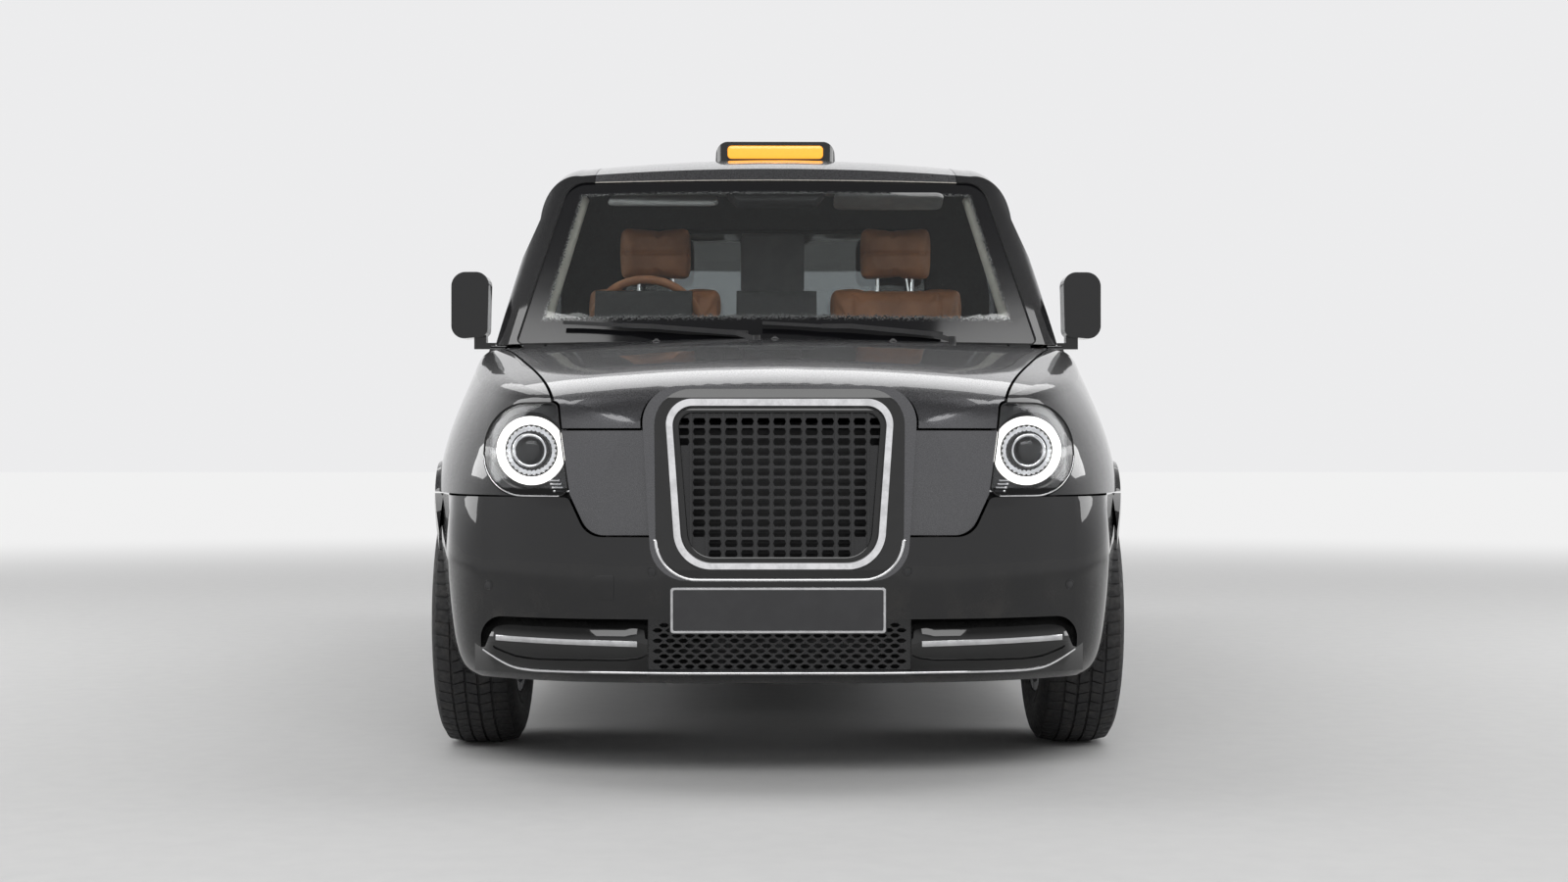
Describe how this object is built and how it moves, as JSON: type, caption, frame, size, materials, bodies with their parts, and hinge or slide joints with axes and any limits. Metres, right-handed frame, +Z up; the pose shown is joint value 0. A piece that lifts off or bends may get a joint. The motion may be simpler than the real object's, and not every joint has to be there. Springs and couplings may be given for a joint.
{
  "type": "taxi cab",
  "caption": "Purpose-built city taxi cab with rear-hinged rear doors, steered front wheels, opening bonnet, doors and tailgate, and a roof sign.",
  "frame": {"origin": "on the ground under the middle of the car", "axes": "+X to the car's left, the front faces -Y, +Z up"},
  "size_m": [2.036, 4.856, 1.888],
  "materials": {
    "black_paint": "gloss",
    "grey_paint": "metallic gloss",
    "chrome_trim": "polished",
    "black_plastic": "satin",
    "gloss_black_plastic": "gloss",
    "tyre_rubber": "matt",
    "rim_alloy": "satin",
    "steel": "satin",
    "cast_metal": "rough",
    "window_glass": "clear",
    "lamp_glass": "clear",
    "tail_lamp_plastic": "gloss",
    "sign_plastic": "gloss",
    "tan_leather": "soft grain",
    "dark_fabric": "woven",
    "painted_floor": "satin"
  },
  "bodies": {
    "body": {"floor_pan": "painted_floor", "battery_pack": "cast_metal", "engine_block": "cast_metal", "drive_unit": "cast_metal", "side_frame_left": "black_paint", "side_frame_right": "black_paint", "roof_panel": "grey_paint", "windscreen": "window_glass", "quarter_windows": "window_glass", "front_wings": "black_paint", "front_bumper": "gloss_black_plastic", "lower_grille": "black_plastic", "grille_surround": "grey_paint", "grille_ring": "chrome_trim", "grille_mesh": "gloss_black_plastic", "nose_panels": "grey_paint", "headlights": "chrome_trim", "headlight_lenses": "lamp_glass", "cowl_panel": "black_plastic", "wipers": "black_plastic", "wheel_arch_liners": "black_plastic", "front_suspension": "steel", "front_rails": "steel", "rear_axle": "steel", "door_hinges": "steel", "tail_lamps": "tail_lamp_plastic", "rear_bumper": "gloss_black_plastic", "taxi_sign": "sign_plastic", "dashboard": "black_plastic", "front_seats": "tan_leather", "rear_seat": "dark_fabric", "partition": "black_plastic", "partition_glass": "window_glass"},
    "bonnet": {"bonnet": "grey_paint"},
    "tailgate": {"tailgate": "black_paint", "tailgate_glass": "window_glass"},
    "steering_wheel": {"steering_wheel": "tan_leather"},
    "front_door_left": {"front_door_left": "black_paint", "front_door_glass_left": "window_glass", "door_mirror_left": "gloss_black_plastic"},
    "rear_door_left": {"rear_door_left": "black_paint", "rear_door_glass_left": "window_glass"},
    "steering_knuckle_left": {"steering_knuckle_left": "cast_metal"},
    "front_wheel_left": {"front_rim_left": "rim_alloy", "front_tyre_left": "tyre_rubber"},
    "rear_wheel_left": {"rear_rim_left": "rim_alloy", "rear_tyre_left": "tyre_rubber"},
    "front_door_right": {"front_door_right": "black_paint", "front_door_glass_right": "window_glass", "door_mirror_right": "gloss_black_plastic"},
    "rear_door_right": {"rear_door_right": "black_paint", "rear_door_glass_right": "window_glass"},
    "steering_knuckle_right": {"steering_knuckle_right": "cast_metal"},
    "front_wheel_right": {"front_rim_right": "rim_alloy", "front_tyre_right": "tyre_rubber"},
    "rear_wheel_right": {"rear_rim_right": "rim_alloy", "rear_tyre_right": "tyre_rubber"}
  },
  "joints": [
    {"name": "front_door_left_hinge", "type": "hinge", "parent": "body", "child": "front_door_left", "pos_m": [0.915, -1.0235, 0.655], "axis": [0, 0, -1], "range_deg": [0, 70]},
    {"name": "rear_door_left_hinge", "type": "hinge", "parent": "body", "child": "rear_door_left", "pos_m": [0.915, 0.8675, 0.655], "axis": [0, 0, 1], "range_deg": [0, 85]},
    {"name": "steering_left", "type": "hinge", "parent": "body", "child": "steering_knuckle_left", "pos_m": [0.747, -1.5985, 0.355], "axis": [0, 0, 1], "range_deg": [-45, 45]},
    {"name": "front_wheel_left_spin", "type": "hinge", "parent": "steering_knuckle_left", "child": "front_wheel_left", "pos_m": [0.807, -1.5985, 0.355], "axis": [1, 0, 0], "continuous": true},
    {"name": "rear_wheel_left_spin", "type": "hinge", "parent": "body", "child": "rear_wheel_left", "pos_m": [0.807, 1.3875, 0.355], "axis": [1, 0, 0], "continuous": true},
    {"name": "front_door_right_hinge", "type": "hinge", "parent": "body", "child": "front_door_right", "pos_m": [-0.915, -1.0235, 0.655], "axis": [0, 0, 1], "range_deg": [0, 70]},
    {"name": "rear_door_right_hinge", "type": "hinge", "parent": "body", "child": "rear_door_right", "pos_m": [-0.915, 0.8675, 0.655], "axis": [0, 0, -1], "range_deg": [0, 85]},
    {"name": "steering_right", "type": "hinge", "parent": "body", "child": "steering_knuckle_right", "pos_m": [-0.747, -1.5985, 0.355], "axis": [0, 0, 1], "range_deg": [-45, 45]},
    {"name": "front_wheel_right_spin", "type": "hinge", "parent": "steering_knuckle_right", "child": "front_wheel_right", "pos_m": [-0.807, -1.5985, 0.355], "axis": [1, 0, 0], "continuous": true},
    {"name": "rear_wheel_right_spin", "type": "hinge", "parent": "body", "child": "rear_wheel_right", "pos_m": [-0.807, 1.3875, 0.355], "axis": [1, 0, 0], "continuous": true},
    {"name": "bonnet_hinge", "type": "hinge", "parent": "body", "child": "bonnet", "pos_m": [0, -1.1615, 1.1], "axis": [-1, 0, 0], "range_deg": [0, 50]},
    {"name": "tailgate_hinge", "type": "hinge", "parent": "body", "child": "tailgate", "pos_m": [0, 2.2705, 1.741], "axis": [1, 0, 0], "range_deg": [0, 80]},
    {"name": "steering_wheel_turn", "type": "hinge", "parent": "body", "child": "steering_wheel", "pos_m": [-0.415, -0.6535, 1.185], "axis": [0, 0.8988, 0.4384], "range_deg": [-480, 480]}
  ],
  "couplings": [
    {"joint": "steering_right", "follows": "steering_left", "ratio": 1},
    {"joint": "steering_wheel_turn", "follows": "steering_left", "ratio": 10.66}
  ]
}
